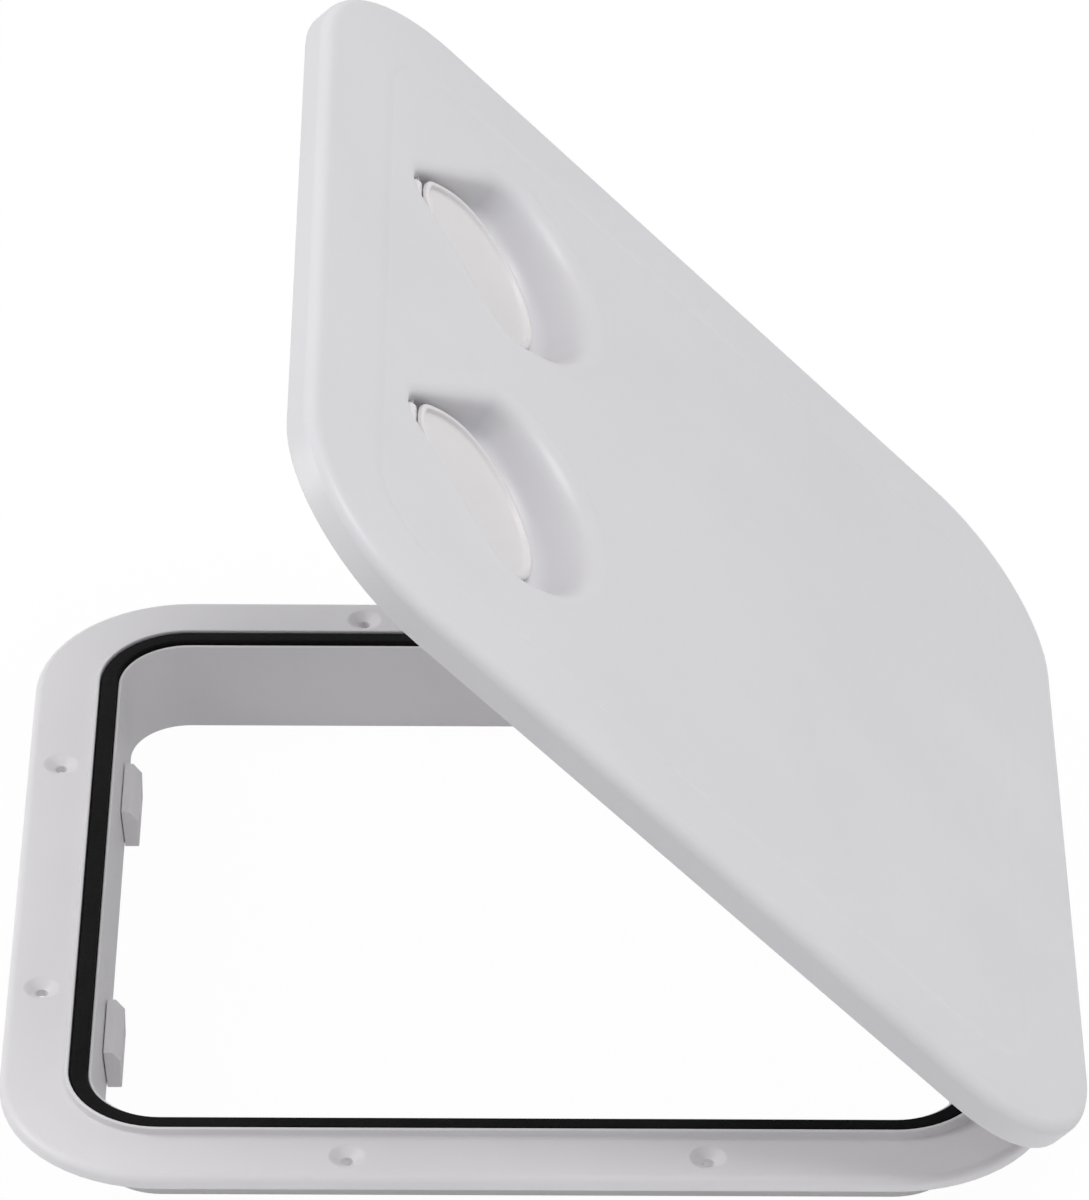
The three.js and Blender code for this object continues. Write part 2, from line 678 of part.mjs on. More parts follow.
function returnSpring() {
  const start = clawFace + CLAW_THICKNESS + FIT + SPRING_WIRE;
  const end = pivotX + SEAT_X - FIT - SPRING_WIRE;
  const wire = new THREE.Shape();
  wire.absarc(0, 0, SPRING_WIRE, 0, 2 * Math.PI);
  const geometry = new THREE.ExtrudeGeometry(wire, {
    steps: SPRING_TURNS * 9,
    curveSegments: 3,
    extrudePath: new Helix(SPRING_RADIUS, end - start, SPRING_TURNS),
  });
  geometry.translate(start, 0, CLAW_SCREW_Z);
  return solid(geometry);
}

// ---- Assembly ----
const frame = new THREE.Group();
frame.add(piece('frame_body', frameBody(), framePlastic));
frame.add(piece('frame_gasket', gasketRing(), rubber));
const lid = new THREE.Group();
lid.add(piece('lid_shell', lidShell(), lidPlastic));

for (const [side, y] of Object.entries(hingeSides)) {
  frame.add(piece(`hinge_pin_${side}`, hingePin(y), steel));
}

for (const [index, [x, y, z]] of keeperScrewPlaces().entries()) {
  const screw = piece(`keeper_screw_${index + 1}`, countersunkScrew(keeperFace - wallX(z) + 2), steel);
  screw.rotation.y = Math.PI / 2;
  screw.position.set(x - FIT, y, z);
  frame.add(screw);
}

for (const [side, y] of Object.entries(latchSides)) {
  frame.add(piece(`keeper_${side}`, keeper(y), framePlastic));
  const latch = new THREE.Group();
  latch.position.y = y;
  latch.add(piece(`latch_housing_${side}`, housing(), darkPlastic));
  latch.add(piece(`latch_pivot_pin_${side}`, pivotPin(), steel));
  latch.add(piece(`latch_handle_${side}`, handle(), handlePlastic));
  latch.add(piece(`latch_claw_${side}`, claw(), steel));
  latch.add(piece(`claw_screw_${side}`, clawScrew(), steel));
  latch.add(piece(`latch_spring_${side}`, returnSpring(), steel));
  for (const [edge, sign] of [['a', -1], ['b', 1]]) {
    const screw = piece(`housing_screw_${side}_${edge}`, housingScrew(), steel);
    screw.position.set(pivotX, sign * BOSS_Y, 0);
    latch.add(screw);
  }
  lid.add(latch);
}

// The lid turns about the hinge pins' axis.
const swing = new THREE.Group();
swing.position.set(HINGE_X, 0, HINGE_Z);
swing.rotation.y = radians(OPEN_ANGLE);
lid.position.set(-HINGE_X, 0, -HINGE_Z);
swing.add(lid);

const hatch = new THREE.Group();
hatch.add(frame, swing);

// The part's origin is the middle of its own box, at its foot.
const bounds = new THREE.Box3().setFromObject(hatch, true);
const middle = bounds.getCenter(new THREE.Vector3());
hatch.position.set(-middle.x, -middle.y, -bounds.min.z);

export default hatch;
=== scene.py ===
import json
import math

import bmesh
import bpy
from mathutils import Matrix, Vector

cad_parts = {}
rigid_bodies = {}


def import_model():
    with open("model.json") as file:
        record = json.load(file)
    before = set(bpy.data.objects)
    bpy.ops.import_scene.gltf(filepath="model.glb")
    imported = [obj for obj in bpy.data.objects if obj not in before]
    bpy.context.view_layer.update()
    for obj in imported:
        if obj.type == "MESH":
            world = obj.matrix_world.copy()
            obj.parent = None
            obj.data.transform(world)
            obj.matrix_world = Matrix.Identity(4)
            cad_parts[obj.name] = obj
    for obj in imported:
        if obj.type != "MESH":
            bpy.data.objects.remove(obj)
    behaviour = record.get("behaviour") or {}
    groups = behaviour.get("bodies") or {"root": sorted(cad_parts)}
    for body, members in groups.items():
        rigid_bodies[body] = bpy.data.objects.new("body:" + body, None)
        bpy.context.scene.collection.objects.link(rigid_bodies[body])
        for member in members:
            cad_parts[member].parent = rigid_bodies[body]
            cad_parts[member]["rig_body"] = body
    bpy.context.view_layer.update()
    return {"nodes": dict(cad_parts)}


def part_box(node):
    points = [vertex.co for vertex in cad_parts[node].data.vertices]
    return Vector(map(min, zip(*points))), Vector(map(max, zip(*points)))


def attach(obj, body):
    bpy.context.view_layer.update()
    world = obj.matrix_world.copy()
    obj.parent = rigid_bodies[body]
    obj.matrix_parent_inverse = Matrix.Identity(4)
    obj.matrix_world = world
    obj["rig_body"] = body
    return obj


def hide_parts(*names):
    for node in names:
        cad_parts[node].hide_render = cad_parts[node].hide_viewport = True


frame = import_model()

# Every new piece is drawn in millimetres with the lid closed. The origin is the middle of the opening on
# the flange's upper face, X runs from the latches to the hinge, and Z is up. A piece is then put in place
# in metres, and the lid's pieces are turned open about the hinge pins.
MM = 0.001
FIT = 0.3

# ---- Sizes, in millimetres ----
FRAME_LENGTH = 356
FRAME_WIDTH = 338.4
FRAME_CORNER = 55
FLANGE_THICKNESS = 5.2
FLANGE_ROUND = 3
NECK_DEPTH = 32.4
NECK_DRAFT = 2.7
NECK_WALL = 2.5
LIP_HEIGHT = 3
OUTER_LIP_INSET = 22
CHANNEL_INSET = 23.3
INNER_LIP_INSET = 30
INNER_LIP_HEIGHT = 1
OPENING_INSET = 31
CHANNEL_FLOOR = -2
GASKET_TOP = 2.5
GASKET_ROUND = 1.1
DECK_SCREW_INSET = 11.7
DECK_SCREW_SPREAD_X = 60
DECK_SCREW_SPREAD_Y = 65.8
DECK_SCREW_HOLE = 2.1
DECK_SCREW_HEAD = 6.1
DECK_SCREW_SINK = 2.2

LID_LENGTH = 375
LID_WIDTH = 357.4
LID_CORNER = 60
LID_TOP = 9.8
LID_BOTTOM = -1.7
LID_SKIN = 2.5
LID_ROUND = 4.5
PANEL_INSET = 28.5
PANEL_RECESS = 0.5
PANEL_SLOPE = 4.5
RIB = 2.2
RIB_DEPTH = 4.2
SEAL_RIB_INSET = 26.3
SEAL_RIB = 3.6
HINGE_SKIRT_BOTTOM = 2.2
HINGE_SKIRT_HALF = 140
CROSS_RIBS = (-20, 50, 115)
LUG_NOTCH_START = 5.2
LUG_NOTCH_HALF = 0.45
LUG_NOTCH_TOP = 7.4

HINGE_X = 180
HINGE_Z = 3.2
HINGE_Y = 92
HINGE_PIN = 2
HINGE_BARREL = 3.8
LUG_LENGTH = 30
KNUCKLE_LENGTH = 7.7
OPEN_ANGLE = math.radians(46.24)

LATCH_Y = {"near": -64.5, "far": 75.5}
HINGE_SIDES = (-HINGE_Y, HINGE_Y)
BOWL_TIP_X = -130.4
BOWL_TIP = 14.5
BOWL_CENTRE_X = -104.5
BOWL_RADIUS = 52
BOWL_SHOULDER = 18
BOWL_FLOOR_START = -0.3
BOWL_FLOOR_END = -14.2
BOWL_FLAT_X = -69.1
BOWL_FLOOR_BEND = 5
BOWL_BEAD = 0.35
BOWL_SHALLOW = 9.6
# How the bowl's wall changes: its value where the bowl is shallow, and what each millimetre deeper adds.
BOWL_DRAFT = (4.2, 0.56)
BOWL_TOE = (2.7, 0.3)
BOWL_ROLL = (3.4, 0.42)
BOWL_BROW = (2.6, 0.12)
PIVOT_X = -137.8
PIVOT_Z = 3.4

HANDLE_LENGTH = 69.4
HANDLE_WIDTH = 58
HANDLE_X = -101.6
HANDLE_Z = -0.1
HANDLE_SLOPE = math.radians(12.1)
HANDLE_ROOT = 2.5
HANDLE_ARM = 9
HANDLE_SIDE_GAP = 5.2
PIVOT_HOLE = 1.8
SHANK_X = -138.7
SHANK_THICKNESS = 4
SHANK_WIDTH = 9
SHANK_BOTTOM = -24
CLAW_SCREW_Z = -18.5
CLAW_SCREW_HOLE = 1.9
SLOT_CLEARANCE = 1
SLOT_TRAVEL = 8.5

BOSS_Y = 24
BOSS_RADIUS = 4
BOSS_BOTTOM = 2.7

QUARTER = math.pi / 2

# ---- Places ----
body_low, body_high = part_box("frame_body")
origin = Vector((body_low.x + FRAME_LENGTH / 2 * MM, 0, body_low.z + NECK_DEPTH * MM))
FRAME_PLACE = Matrix.Translation(origin) @ Matrix.Scale(MM, 4)
hinge = Vector((HINGE_X, 0, HINGE_Z))
LID_SWING = Matrix.Translation(hinge) @ Matrix.Rotation(OPEN_ANGLE, 4, "Y") @ Matrix.Translation(-hinge)
LID_PLACE = FRAME_PLACE @ LID_SWING


# ---- Modelling tools ----
def bezier(start, bend, end, steps):
    """Points along a smooth bend from start to end, the first left out."""
    points = []
    for k in range(1, steps + 1):
        t = k / steps
        points.append(start * (1 - t) ** 2 + bend * 2 * t * (1 - t) + end * t * t)
    return points


def arc(centre, radius, start, end, steps=5):
    """Points of an arc in a section, as (inset, height). Angles are in degrees."""
    points = []
    for k in range(steps + 1):
        angle = math.radians(start + (end - start) * k / steps)
        points.append((centre[0] + radius * math.cos(angle), centre[1] + radius * math.sin(angle)))
    return points


def swept_section(mesh, section, closed, length, width, corner, steps=16):
    """Carries a section of (inset, height) points round a rounded rectangle."""
    mid_x = length / 2 - corner
    mid_y = width / 2 - corner
    verts = [mesh.verts.new((mid_x + corner - inset, mid_y, height)) for inset, height in section]
    edges = [mesh.edges.new(pair) for pair in zip(verts, verts[1:])]
    if closed:
        edges.append(mesh.edges.new((verts[-1], verts[0])))
    corners = [(mid_x, mid_y), (-mid_x, mid_y), (-mid_x, -mid_y), (mid_x, -mid_y)]
    runs = [(-2 * mid_x, 0), (0, -2 * mid_y), (2 * mid_x, 0), (0, 2 * mid_y)]
    for (x, y), (run_x, run_y) in zip(corners, runs):
        turned = bmesh.ops.spin(mesh, geom=verts + edges, cent=(x, y, 0), axis=(0, 0, 1), angle=QUARTER,
                                steps=steps, use_merge=False, use_duplicate=False)
        verts = [g for g in turned["geom_last"] if isinstance(g, bmesh.types.BMVert)]
        edges = [g for g in turned["geom_last"] if isinstance(g, bmesh.types.BMEdge)]
        for share in (0.01, 0.98, 0.01):
            grown = bmesh.ops.extrude_edge_only(mesh, edges=edges)["geom"]
            verts = [g for g in grown if isinstance(g, bmesh.types.BMVert)]
            edges = [g for g in grown if isinstance(g, bmesh.types.BMEdge)]
            edges = [e for e in edges if all(v in set(verts) for v in e.verts)]
            bmesh.ops.translate(mesh, verts=verts, vec=(run_x * share, run_y * share, 0))
    bmesh.ops.remove_doubles(mesh, verts=mesh.verts[:], dist=0.001)


def eased(mesh, edges, width):
    bmesh.ops.bevel(mesh, geom=edges, offset=width, segments=2, profile=0.5, affect="EDGES", material=-1)


def block(mesh, low, high, bevel=0.0):
    """A box between two corners, its edges softened by bevel."""
    low, high = Vector(low), Vector(high)
    cube = bmesh.ops.create_cube(mesh, size=1)["verts"]
    bmesh.ops.scale(mesh, verts=cube, vec=high - low)
    bmesh.ops.translate(mesh, verts=cube, vec=(low + high) / 2)
    if bevel:
        edges = list({e for v in cube for e in v.link_edges})
        eased(mesh, edges, bevel)


def bar(mesh, axis, radius, length, centre, steps=32, bevel=0.0):
    """A round bar along an axis."""
    turn = {"x": Matrix.Rotation(QUARTER, 4, "Y"), "y": Matrix.Rotation(-QUARTER, 4, "X"), "z": Matrix()}[axis]
    made = bmesh.ops.create_cone(mesh, cap_ends=True, segments=steps, radius1=radius, radius2=radius,
                                 depth=length, matrix=Matrix.Translation(Vector(centre)) @ turn)
    if bevel:
        caps = {f for v in made["verts"] for f in v.link_faces if len(f.verts) == steps}
        edges = list({e for f in caps for e in f.edges})
        eased(mesh, edges, bevel)


def profile_bar(mesh, outline, middle, length, bevel=0.0):
    """A section of (x, z) points run along Y about a middle."""
    verts = [mesh.verts.new((x, middle - length / 2, z)) for x, z in outline]
    face = mesh.faces.new(verts)
    grown = bmesh.ops.extrude_face_region(mesh, geom=[face])["geom"]
    top = [g for g in grown if isinstance(g, bmesh.types.BMVert)]
    bmesh.ops.translate(mesh, verts=top, vec=(0, length, 0))
    faces = list({f for v in verts + top for f in v.link_faces})
    bmesh.ops.recalc_face_normals(mesh, faces=faces)
    if bevel:
        edges = list({e for f in faces for e in f.edges})
        eased(mesh, edges, bevel)


def as_object(name, mesh, closed=True):
    """A scene object from a bmesh. The faces of a closed one are turned outwards."""
    if closed:
        bmesh.ops.recalc_face_normals(mesh, faces=mesh.faces[:])
    data = bpy.data.meshes.new(name)
    mesh.to_mesh(data)
    mesh.free()
    thing = bpy.data.objects.new(name, data)
    bpy.context.scene.collection.objects.link(thing)
    return thing


def baked(thing):
    """Applies the modifiers of an object to its mesh."""
    bpy.context.view_layer.update()
    shaped = thing.evaluated_get(bpy.context.evaluated_depsgraph_get())
    data = bpy.data.meshes.new_from_object(shaped)
    thing.modifiers.clear()
    old = thing.data
    thing.data = data
    bpy.data.meshes.remove(old)


def joined(thing, mesh, operation):
    """Adds the solids of a bmesh to an object, or cuts them from it."""
    tool = as_object("tool", mesh)
    change = thing.modifiers.new("shape", "BOOLEAN")
    change.operation = operation
    change.solver = "EXACT"
    change.use_self = operation == "UNION"
    change.object = tool
    baked(thing)
    data = tool.data
    bpy.data.objects.remove(tool)
    bpy.data.meshes.remove(data)


def changed(thing, operation, *builders):
    """Draws the solids of each builder in turn, and joins them to an object or cuts them from it."""
    for draw in builders:
        mesh = bmesh.new()
        draw(mesh)
        joined(thing, mesh, operation)


def finished(thing, place, body, material, nodes, edge_angle=32):
    """Puts a new piece in place, smooths it between its edges, and lets it stand for its CAD nodes."""
    thing.data.transform(place)
    mesh = bmesh.new()
    mesh.from_mesh(thing.data)
    bmesh.ops.remove_doubles(mesh, verts=mesh.verts[:], dist=1e-6)
    limit = math.radians(edge_angle)
    for edge in mesh.edges:
        edge.smooth = len(edge.link_faces) == 2 and edge.calc_face_angle(0) < limit
    for face in mesh.faces:
        face.smooth = True
    mesh.to_mesh(thing.data)
    mesh.free()
    normals = thing.modifiers.new("even_shading", "WEIGHTED_NORMAL")
    normals.keep_sharp = True
    normals.weight = 80
    thing.data.materials.clear()
    thing.data.materials.append(material)
    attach(thing, body)
    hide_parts(*nodes)
    return thing


# ---- Materials ----
def node(tree, kind, inputs=None, **settings):
    made = tree.nodes.new(kind)
    for key, value in settings.items():
        setattr(made, key, value)
    for key, value in (inputs or {}).items():
        if isinstance(value, bpy.types.NodeSocket):
            tree.links.new(value, made.inputs[key])
        else:
            made.inputs[key].default_value = value
    return made


def tone(level, tint=(1, 1, 1)):
    return tuple(level * t for t in tint) + (1,)


def new_material(name):
    material = bpy.data.materials.new(name)
    material.use_nodes = True
    tree = material.node_tree
    return material, tree, tree.nodes["Principled BSDF"]


def moulded_plastic(name, colour, gloss=0.36, grain=1.0):
    """Satin plastic: slow drift in colour, faint flow marks, a fine moulded grain, and pale rubbed specks."""
    material, tree, shader = new_material(name)
    place = node(tree, "ShaderNodeTexCoord").outputs["Object"]
    drift = node(tree, "ShaderNodeTexNoise", {"Vector": place, "Scale": 14.0, "Detail": 3.0})
    flow = node(tree, "ShaderNodeTexNoise",
                {"Vector": place, "Scale": 55.0, "Detail": 5.0, "Roughness": 0.6, "Distortion": 0.8})
    grit = node(tree, "ShaderNodeTexNoise", {"Vector": place, "Scale": 1500.0, "Detail": 2.0})
    shades = node(tree, "ShaderNodeValToRGB", {"Fac": drift.outputs["Fac"]})
    ends = shades.color_ramp.elements
    ends[0].position, ends[1].position = 0.3, 0.7
    ends[0].color = tuple(c * 0.965 for c in colour[:3]) + (1,)
    ends[1].color = colour
    specks = node(tree, "ShaderNodeMapRange", {"Value": grit.outputs["Fac"], "From Min": 0.62,
                                               "From Max": 0.8, "To Min": 0.0, "To Max": 0.06})
    tinted = node(tree, "ShaderNodeMix", {"Factor": specks.outputs["Result"]}, data_type="RGBA")
    tree.links.new(shades.outputs["Color"], tinted.inputs[6])
    tinted.inputs[7].default_value = (0.9, 0.9, 0.9, 1)
    tree.links.new(tinted.outputs[2], shader.inputs["Base Color"])
    rough = node(tree, "ShaderNodeMapRange", {"Value": flow.outputs["Fac"], "From Min": 0.3, "From Max": 0.7,
                                              "To Min": gloss - 0.04, "To Max": gloss + 0.05})
    tree.links.new(rough.outputs["Result"], shader.inputs["Roughness"])
    skin = node(tree, "ShaderNodeBump", {"Height": grit.outputs["Fac"], "Strength": 0.12 * grain,
                                         "Distance": 0.0002})
    waves = node(tree, "ShaderNodeBump", {"Height": drift.outputs["Fac"], "Strength": 0.05,
                                          "Distance": 0.002, "Normal": skin.outputs["Normal"]})
    tree.links.new(waves.outputs["Normal"], shader.inputs["Normal"])
    shader.inputs["Specular IOR Level"].default_value = 0.3
    return material


def turned_steel(name, stretch=(1, 1, 1), level=0.62):
    """Stainless steel with fine tool marks, drawn out along one axis, and a few duller patches."""
    material, tree, shader = new_material(name)
    place = node(tree, "ShaderNodeTexCoord").outputs["Object"]
    drawn = node(tree, "ShaderNodeMapping", {"Vector": place, "Scale": stretch})
    marks = node(tree, "ShaderNodeTexNoise",
                 {"Vector": drawn.outputs["Vector"], "Scale": 900.0, "Detail": 3.0})
    patches = node(tree, "ShaderNodeTexNoise", {"Vector": place, "Scale": 160.0, "Detail": 2.0})
    shades = node(tree, "ShaderNodeValToRGB", {"Fac": marks.outputs["Fac"]})
    ends = shades.color_ramp.elements
    ends[0].color = tone(level * 0.82, (1, 1, 1.01))
    ends[1].color = tone(level * 1.08, (1, 1, 1.01))
    tree.links.new(shades.outputs["Color"], shader.inputs["Base Color"])
    shader.inputs["Metallic"].default_value = 1
    rough = node(tree, "ShaderNodeMapRange", {"Value": patches.outputs["Fac"], "From Min": 0.3,
                                              "From Max": 0.7, "To Min": 0.24, "To Max": 0.38})
    tree.links.new(rough.outputs["Result"], shader.inputs["Roughness"])
    bump = node(tree, "ShaderNodeBump",
                {"Height": marks.outputs["Fac"], "Strength": 0.15, "Distance": 0.0001})
    tree.links.new(bump.outputs["Normal"], shader.inputs["Normal"])
    return material


def seal_rubber(name):
    """Black rubber: matt, with a fine grain and a faint bloom of dust."""
    material, tree, shader = new_material(name)
    place = node(tree, "ShaderNodeTexCoord").outputs["Object"]
    grain = node(tree, "ShaderNodeTexNoise", {"Vector": place, "Scale": 1100.0, "Detail": 3.0})
    bloom = node(tree, "ShaderNodeTexNoise", {"Vector": place, "Scale": 40.0, "Detail": 4.0})
    shades = node(tree, "ShaderNodeValToRGB", {"Fac": bloom.outputs["Fac"]})
    ends = shades.color_ramp.elements
    ends[0].position, ends[1].position = 0.35, 0.75
    ends[0].color = (0.0025, 0.0025, 0.0027, 1)
    ends[1].color = (0.006, 0.006, 0.0063, 1)
    shader.inputs["Specular IOR Level"].default_value = 0.06
    tree.links.new(shades.outputs["Color"], shader.inputs["Base Color"])
    rough = node(tree, "ShaderNodeMapRange", {"Value": grain.outputs["Fac"], "From Min": 0.3, "From Max": 0.7,
                                              "To Min": 0.5, "To Max": 0.68})
    tree.links.new(rough.outputs["Result"], shader.inputs["Roughness"])
    bump = node(tree, "ShaderNodeBump", {"Height": grain.outputs["Fac"], "Strength": 0.2, "Distance": 0.0002})
    tree.links.new(bump.outputs["Normal"], shader.inputs["Normal"])
    return material


# The frame is the same white plastic as the lid, but its colour is painted lighter: painted light that
# brightens the flange and back wall lying in the lid's shade.
FRAME_COLOUR_PAINTED_LIGHT = (0.735, 0.72, 0.735, 1)
LID_COLOUR = (0.645, 0.635, 0.655, 1)
HANDLE_COLOUR = (0.72, 0.695, 0.70, 1)
# The keepers' colour is painted lighter still: painted light that makes up for the shade they sit in under the
# lid.
KEEPER_COLOUR_PAINTED_LIGHT = (0.80, 0.785, 0.795, 1)
HOUSING_COLOUR = (0.03, 0.031, 0.033, 1)
frame_plastic_painted_light = moulded_plastic("satin_frame_plastic", FRAME_COLOUR_PAINTED_LIGHT, 0.38)
lid_plastic = moulded_plastic("satin_lid_plastic", LID_COLOUR, 0.36)
handle_plastic = moulded_plastic("warm_handle_plastic", HANDLE_COLOUR, 0.33)
keeper_plastic_painted_light = moulded_plastic("keeper_plastic_painted_light", KEEPER_COLOUR_PAINTED_LIGHT, 0.4)
housing_plastic = moulded_plastic("black_housing_plastic", HOUSING_COLOUR, 0.46, 1.6)
pin_steel = turned_steel("drawn_pin_steel", (1, 0.05, 1))
screw_steel = turned_steel("turned_screw_steel")
claw_steel = turned_steel("pressed_claw_steel", (1, 1, 0.1), 0.55)
spring_steel = turned_steel("spring_wire_steel", (0.3, 1, 1), 0.5)
gasket_rubber = seal_rubber("gasket_rubber")


# ---- Frame ----
def wall_inset(height, inset):
    """A drafted wall's distance from the flange's edge, given that distance at the lip."""
    return inset + NECK_DRAFT * (LIP_HEIGHT - height) / (NECK_DEPTH + LIP_HEIGHT)


def frame_section():
    lip = LIP_HEIGHT
    edge = 0.45
    foot = -NECK_DEPTH
    outer = OPENING_INSET - NECK_WALL
    points = [(0.5, -FLANGE_THICKNESS), (0.12, -FLANGE_THICKNESS + 0.14), (0, -FLANGE_THICKNESS + 0.5)]
    points += arc((FLANGE_ROUND, -FLANGE_ROUND), FLANGE_ROUND, 180, 90, 8)
    points += arc((OUTER_LIP_INSET - 0.8, 0.8), 0.8, 270, 360, 4)
    points += arc((OUTER_LIP_INSET + edge, lip - edge), edge, 180, 90, 3)
    points += arc((CHANNEL_INSET - edge, lip - edge), edge, 90, 0, 3)
    points += [(CHANNEL_INSET, CHANNEL_FLOOR), (INNER_LIP_INSET, CHANNEL_FLOOR)]
    points += arc((INNER_LIP_INSET + 0.3, INNER_LIP_HEIGHT - 0.3), 0.3, 180, 90, 3)
    brim = wall_inset(INNER_LIP_HEIGHT, OPENING_INSET)
    points += arc((brim - edge, INNER_LIP_HEIGHT - edge), edge, 90, 4, 3)
    points += arc((wall_inset(foot, OPENING_INSET) - 0.6, foot + 0.6), 0.6, 4, -90, 3)
    points += arc((wall_inset(foot, outer) + 0.5, foot + 0.5), 0.5, 270, 184, 3)
    points += arc((wall_inset(-8, outer) - 1.6, -FLANGE_THICKNESS - 1.6), 1.6, 4, 90, 4)
    return points


def hinge_lug_outline():
    edge = FRAME_LENGTH / 2
    return [
        (edge - 3 * HINGE_BARREL, -FLANGE_ROUND / 2),
        (edge - FLANGE_ROUND / 4, -FLANGE_ROUND / 2),
        (edge + FLANGE_ROUND / 5, HINGE_Z - HINGE_BARREL * 0.9),
        (HINGE_X, HINGE_Z),
        (HINGE_X, HINGE_Z + HINGE_BARREL * 0.98),
        (HINGE_X - HINGE_BARREL, HINGE_Z + HINGE_BARREL * 0.85),
        (edge - 2.4 * HINGE_BARREL, 0.5),
    ]


def deck_screw_places():
    side_x = FRAME_LENGTH / 2 - DECK_SCREW_INSET
    side_y = FRAME_WIDTH / 2 - DECK_SCREW_INSET
    for a in (-1, 1):
        for b in (-1, 1):
            yield a * side_x, b * DECK_SCREW_SPREAD_Y
            yield a * DECK_SCREW_SPREAD_X, b * side_y


def countersink(mesh, x, y):
    """A shallow cone with an eased brim, turned about a deck screw's axis."""
    section = [(0, -DECK_SCREW_SINK - 0.3), (DECK_SCREW_HOLE - 0.05, -DECK_SCREW_SINK - 0.3),
               (DECK_SCREW_HOLE + 0.25, -DECK_SCREW_SINK), (DECK_SCREW_HEAD - 0.7, -0.38),
               (DECK_SCREW_HEAD - 0.2, -0.12), (DECK_SCREW_HEAD + 0.3, -0.005), (DECK_SCREW_HEAD + 0.3, 0.4),
               (0, 0.4)]
    verts = [mesh.verts.new((x + r, y, z)) for r, z in section]
    edges = [mesh.edges.new(pair) for pair in zip(verts, verts[1:])]
    bmesh.ops.spin(mesh, geom=verts + edges, cent=(x, y, 0), axis=(0, 0, 1), angle=4 * QUARTER, steps=48,
                   use_merge=True, use_duplicate=False)
    bmesh.ops.remove_doubles(mesh, verts=mesh.verts[:], dist=0.0005)


def countersinks(mesh):
    for x, y in deck_screw_places():
        countersink(mesh, x, y)


def deck_screw_holes(mesh):
    for x, y in deck_screw_places():
        bar(mesh, "z", DECK_SCREW_HOLE, 12, (x, y, -6.5), steps=40)


def hinge_lugs(mesh):
    for y in HINGE_SIDES:
        profile_bar(mesh, hinge_lug_outline(), y, LUG_LENGTH, 0.25)


def lug_barrels(mesh):
    for y in HINGE_SIDES:
        bar(mesh, "y", HINGE_BARREL, LUG_LENGTH, (HINGE_X, y, HINGE_Z), bevel=0.4)


def lug_bores(mesh):
    for y in HINGE_SIDES:
        bar(mesh, "y", HINGE_PIN + FIT, LUG_LENGTH + 2, (HINGE_X, y, HINGE_Z))


def frame_moulding():
    mesh = bmesh.new()
    swept_section(mesh, frame_section(), True, FRAME_LENGTH, FRAME_WIDTH, FRAME_CORNER)
    moulding = as_object("frame_moulding", mesh)
    changed(moulding, "UNION", hinge_lugs, lug_barrels)
    changed(moulding, "DIFFERENCE", deck_screw_holes, countersinks, lug_bores)
    return finished(moulding, FRAME_PLACE, "frame", frame_plastic_painted_light, ["frame_body"])


def gasket_seal():
    mesh = bmesh.new()
    outer = CHANNEL_INSET + FIT
    inner = INNER_LIP_INSET - FIT
    foot = CHANNEL_FLOOR + FIT
    r = GASKET_ROUND
    section = arc((outer + 0.5, foot + 0.5), 0.5, 270, 180, 3)
    section += arc((outer + r, GASKET_TOP - r), r, 180, 96, 5)
    section += arc((inner - r, GASKET_TOP - r), r, 84, 0, 5)
    section += arc((inner - 0.5, foot + 0.5), 0.5, 0, -90, 3)
    swept_section(mesh, section, True, FRAME_LENGTH, FRAME_WIDTH, FRAME_CORNER)
    seal = as_object("gasket_seal", mesh)
    return finished(seal, FRAME_PLACE, "frame", gasket_rubber, ["frame_gasket"], 60)


# ---- Lid ----
def bowl_floor(x):
    """Height of a finger bowl's floor: it slopes down from the latch's root and then runs level."""
    slope = (BOWL_FLOOR_START - BOWL_FLOOR_END) / (BOWL_FLAT_X - PIVOT_X)
    sloping = BOWL_FLOOR_START - slope * (x - PIVOT_X)
    gap = (sloping - BOWL_FLOOR_END) / BOWL_FLOOR_BEND
    return min(BOWL_FLOOR_END + BOWL_FLOOR_BEND * math.log1p(math.exp(gap)), BOWL_FLOOR_START)


def bowl_rim():
    """A finger bowl's rim from above, as (point, outward direction): a pointed end and a round end."""
    side_x = BOWL_TIP_X + (BOWL_SHOULDER - BOWL_TIP) * math.sqrt(2) - BOWL_CENTRE_X
    reach = BOWL_RADIUS - BOWL_SHOULDER
    along = (side_x + math.sqrt(2 * reach * reach - side_x * side_x)) / 2
    across = along - side_x
    turn = math.degrees(math.atan2(across, along))
    arcs = [
        (BOWL_TIP_X, 0, BOWL_TIP, 135, 225, 12),
        (BOWL_CENTRE_X + along, -across, BOWL_SHOULDER, 225, 360 - turn, 12),
        (BOWL_CENTRE_X, 0, BOWL_RADIUS, -turn, turn, 36),
        (BOWL_CENTRE_X + along, across, BOWL_SHOULDER, turn, 135, 12),
    ]
    rim = []
    for x, y, radius, start, end, steps in arcs:
        first = len(rim)
        for k in range(steps + 1):
            angle = math.radians(start + (end - start) * k / steps)
            out = Vector((math.cos(angle), math.sin(angle), 0))
            rim.append((Vector((x, y, 0)) + out * radius, out))
        if first and (rim[first - 1][0] - rim[first][0]).length < 0.01:
            rim.pop(first)
    return straightened(rim)


def straightened(rim):
    """Adds points along the rim's straight sides, so that the wall below them can follow the floor."""
    full = []
    for (point, out), (after, after_out) in zip(rim, rim[1:] + rim[:1]):
        full.append((point, out))
        steps = int((after - point).length // 5)
        if out.dot(after_out) > 0.9999:
            full += [(point.lerp(after, k / (steps + 1)), out) for k in range(1, steps + 1)]
    return full


def raised(point, height):
    return Vector((point.x, point.y, height))


def raised_to_floor(point):
    return raised(point, bowl_floor(point.x))


def deepened(size, deep):
    value, gain = size
    return value + gain * deep


